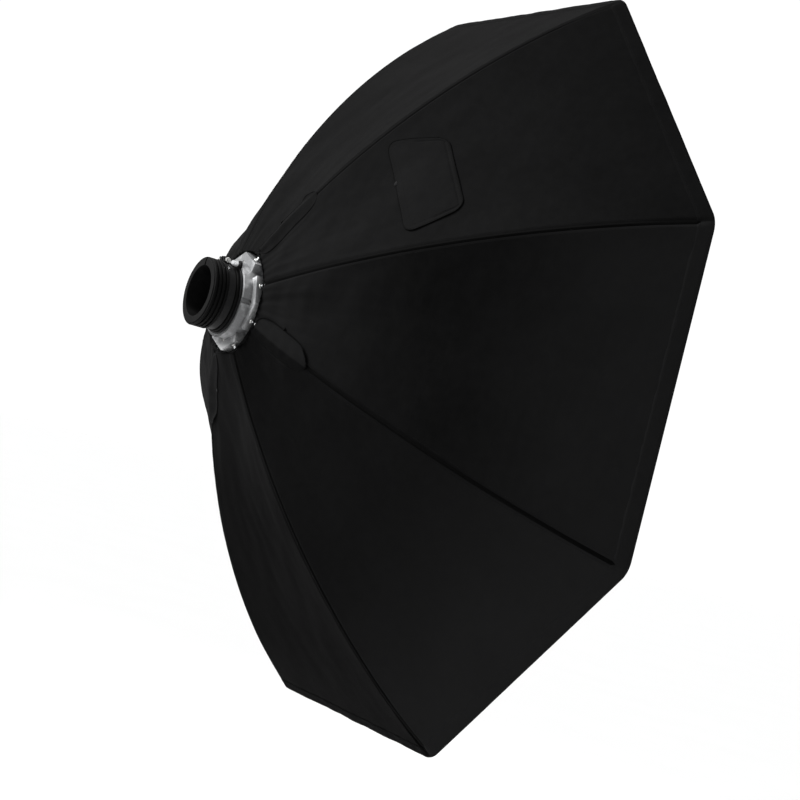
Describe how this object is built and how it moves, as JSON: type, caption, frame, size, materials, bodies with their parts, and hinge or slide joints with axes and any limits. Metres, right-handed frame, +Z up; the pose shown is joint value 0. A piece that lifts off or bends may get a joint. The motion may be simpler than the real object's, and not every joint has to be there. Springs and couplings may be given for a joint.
{
  "type": "octagonal softbox",
  "caption": "Octagonal softbox of black fabric over sprung rods, with white front and inner diffusers, on a rotating rod ring with a clamped rubber collar for a flash head.",
  "frame": {"origin": "centre of the rear mouth of the collar's bore, where the flash head enters", "axes": "+Z up, optical axis along Y, diffuser faces -Y, head enters from +Y"},
  "size_m": [1.5012, 0.5734, 1.5012],
  "materials": {
    "black_fabric": "matte woven, silver-coated inside",
    "black_webbing": "ribbed woven tape",
    "white_diffuser": "translucent white woven",
    "ring_silver": "fine cast, machined faces, clear anodised",
    "rod_steel": "drawn and polished",
    "steel_hardware": "zinc plated",
    "knob_chrome": "bright plated",
    "black_hardware": "satin black powder coat",
    "collar_rubber": "matte moulded rubber",
    "cap_rubber": "moulded rubber"
  },
  "bodies": {
    "adapter": {"adapter_tube": "black_hardware", "rubber_collar": "collar_rubber", "clamp_band": "black_hardware", "draw_bolt": "steel_hardware", "draw_nut": "steel_hardware", "cam_pin": "steel_hardware", "retaining_ring": "steel_hardware"},
    "clamp_lever": {"clamp_lever": "black_hardware"},
    "lock_knob": {"lock_knob": "knob_chrome"},
    "softbox": {"rod_ring": "ring_silver", "ring_front_plate": "ring_silver", "ring_screws": "steel_hardware", "rod_1": "rod_steel", "rod_2": "rod_steel", "rod_3": "rod_steel", "rod_4": "rod_steel", "rod_5": "rod_steel", "rod_6": "rod_steel", "rod_7": "rod_steel", "rod_8": "rod_steel", "rod_tip_caps": "cap_rubber", "corner_pockets": "black_webbing", "rod_sleeves": "black_webbing", "panel_1": "black_fabric", "panel_2": "black_fabric", "panel_3": "black_fabric", "panel_4": "black_fabric", "panel_5": "black_fabric", "panel_6": "black_fabric", "panel_7": "black_fabric", "panel_8": "black_fabric", "rim_hem": "black_webbing", "throat_hem": "black_webbing", "hook_tape": "black_webbing", "port_tape": "black_webbing", "inner_baffle": "white_diffuser", "baffle_straps": "black_webbing"},
    "rod_flap_1": {"rod_flap_1": "black_fabric"},
    "rod_flap_3": {"rod_flap_3": "black_fabric"},
    "rod_flap_5": {"rod_flap_5": "black_fabric"},
    "rod_flap_7": {"rod_flap_7": "black_fabric"},
    "port_flap": {"port_flap": "black_fabric"},
    "front_diffuser": {"front_diffuser": "white_diffuser", "diffuser_border": "black_webbing", "pull_loop": "black_webbing"}
  },
  "joints": [
    {"name": "softbox_turn", "type": "hinge", "parent": "adapter", "child": "softbox", "pos_m": [0, 0, 0], "axis": [0, 1, 0], "continuous": true},
    {"name": "lever_hinge", "type": "hinge", "parent": "adapter", "child": "clamp_lever", "pos_m": [0.012, -0.039, 0.071], "axis": [0, -1, 0], "range_deg": [0, 110]},
    {"name": "knob_turn", "type": "hinge", "parent": "adapter", "child": "lock_knob", "pos_m": [-0.03106, -0.045, 0.06661], "axis": [0, 1, 0], "continuous": true},
    {"name": "rod_flap_1_hinge", "type": "hinge", "parent": "softbox", "child": "rod_flap_1", "pos_m": [-0.08929, -0.10613, 0.15528], "axis": [-0.355, -0.3707, 0.8582], "range_deg": [0, 120]},
    {"name": "rod_flap_3_hinge", "type": "hinge", "parent": "softbox", "child": "rod_flap_3", "pos_m": [-0.15528, -0.10613, -0.08929], "axis": [-0.8582, -0.3707, -0.355], "range_deg": [0, 120]},
    {"name": "rod_flap_5_hinge", "type": "hinge", "parent": "softbox", "child": "rod_flap_5", "pos_m": [0.08929, -0.10613, -0.15528], "axis": [0.355, -0.3707, -0.8582], "range_deg": [0, 120]},
    {"name": "rod_flap_7_hinge", "type": "hinge", "parent": "softbox", "child": "rod_flap_7", "pos_m": [0.15528, -0.10613, 0.08929], "axis": [0.8582, -0.3707, 0.355], "range_deg": [0, 120]},
    {"name": "port_flap_hinge", "type": "hinge", "parent": "softbox", "child": "port_flap", "pos_m": [-0.34101, -0.28894, 0.34101], "axis": [0.7071, 0, 0.7071], "range_deg": [0, 120]},
    {"name": "front_pull", "type": "slide", "parent": "softbox", "child": "front_diffuser", "axis": [0, -1, 0], "range_m": [0, 0.12]}
  ]
}
